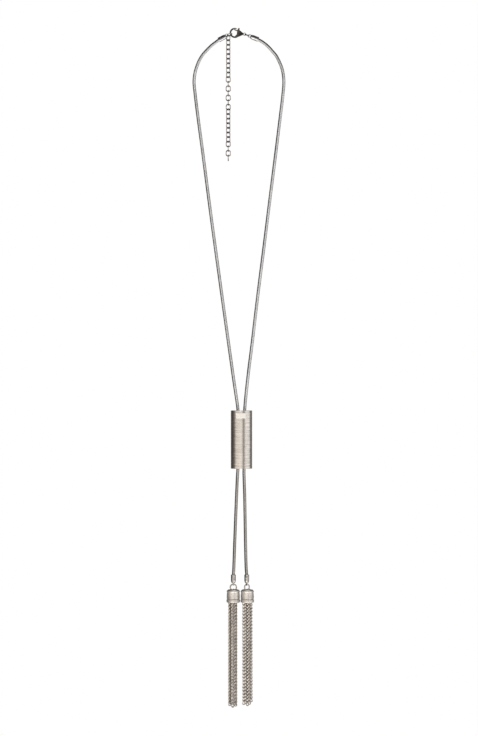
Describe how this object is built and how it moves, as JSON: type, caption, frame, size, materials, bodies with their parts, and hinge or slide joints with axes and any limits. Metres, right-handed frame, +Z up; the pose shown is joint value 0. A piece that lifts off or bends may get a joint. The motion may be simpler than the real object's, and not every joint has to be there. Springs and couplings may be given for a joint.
{
  "type": "tassel necklace",
  "caption": "Long lariat necklace of round snake chain through a ribbed slider tube, with chain tassels, a lobster clasp and an extender.",
  "frame": {"origin": "just under the clasp, at the top of the loop, where it rests on a neck or a peg", "axes": "+Z up, +X to the wearer's left as seen from the front, the front faces -Y; hanging at rest in the XZ plane"},
  "size_m": [0.0602, 0.0142, 0.4419],
  "materials": {
    "snake_chain": "polished dark silver plate, fine banded snake chain",
    "tube_metal": "polished silver plate, finely ribbed",
    "plate_metal": "polished silver plate, bare",
    "findings": "polished silver plate",
    "clasp_metal": "polished gunmetal plate",
    "extender_metal": "polished silver plate",
    "cap_metal": "polished silver plate",
    "fringe_metal": "antique silver plate, fine curb chain"
  },
  "bodies": {
    "strands": {"snake_chain_left": "snake_chain", "snake_chain_right": "snake_chain", "slider_tube": "tube_metal", "slider_plate": "plate_metal", "end_cap_neck_left": "findings", "end_cap_neck_right": "findings", "end_cap_drop_left": "findings", "end_cap_drop_right": "findings", "clasp_body": "clasp_metal", "clasp_ring": "findings", "extender_ring": "extender_metal", "extender_chain": "extender_metal"},
    "lever": {"clasp_lever": "findings"},
    "ring_left": {"drop_ring_left": "findings"},
    "ring_right": {"drop_ring_right": "findings"},
    "tassel_left": {"tassel_cap_left": "cap_metal", "tassel_fringe_left": "fringe_metal"},
    "tassel_right": {"tassel_cap_right": "cap_metal", "tassel_fringe_right": "fringe_metal"}
  },
  "joints": [
    {"name": "lever_hinge", "type": "hinge", "parent": "strands", "child": "lever", "pos_m": [-0.00209, 0, 0.00371], "axis": [0, -1, 0], "range_deg": [0, 24], "stiffness_Nm_per_rad": 0.002, "springref_deg": -17.19},
    {"name": "ring_left_sway", "type": "hinge", "parent": "strands", "child": "ring_left", "pos_m": [-0.0053, 0, -0.35647], "axis": [0, 1, 0], "range_deg": [0, 28]},
    {"name": "tassel_left_swing", "type": "hinge", "parent": "ring_left", "child": "tassel_left", "pos_m": [-0.0053, 0, -0.3597], "axis": [1, 0, 0], "range_deg": [-45, 45]},
    {"name": "ring_right_sway", "type": "hinge", "parent": "strands", "child": "ring_right", "pos_m": [0.0034, 0, -0.35647], "axis": [0.342, -0.9397, 0], "range_deg": [0, 28]},
    {"name": "tassel_right_swing", "type": "hinge", "parent": "ring_right", "child": "tassel_right", "pos_m": [0.00355, 0, -0.3597], "axis": [-0.766, -0.6428, 0], "range_deg": [0, 45]}
  ]
}
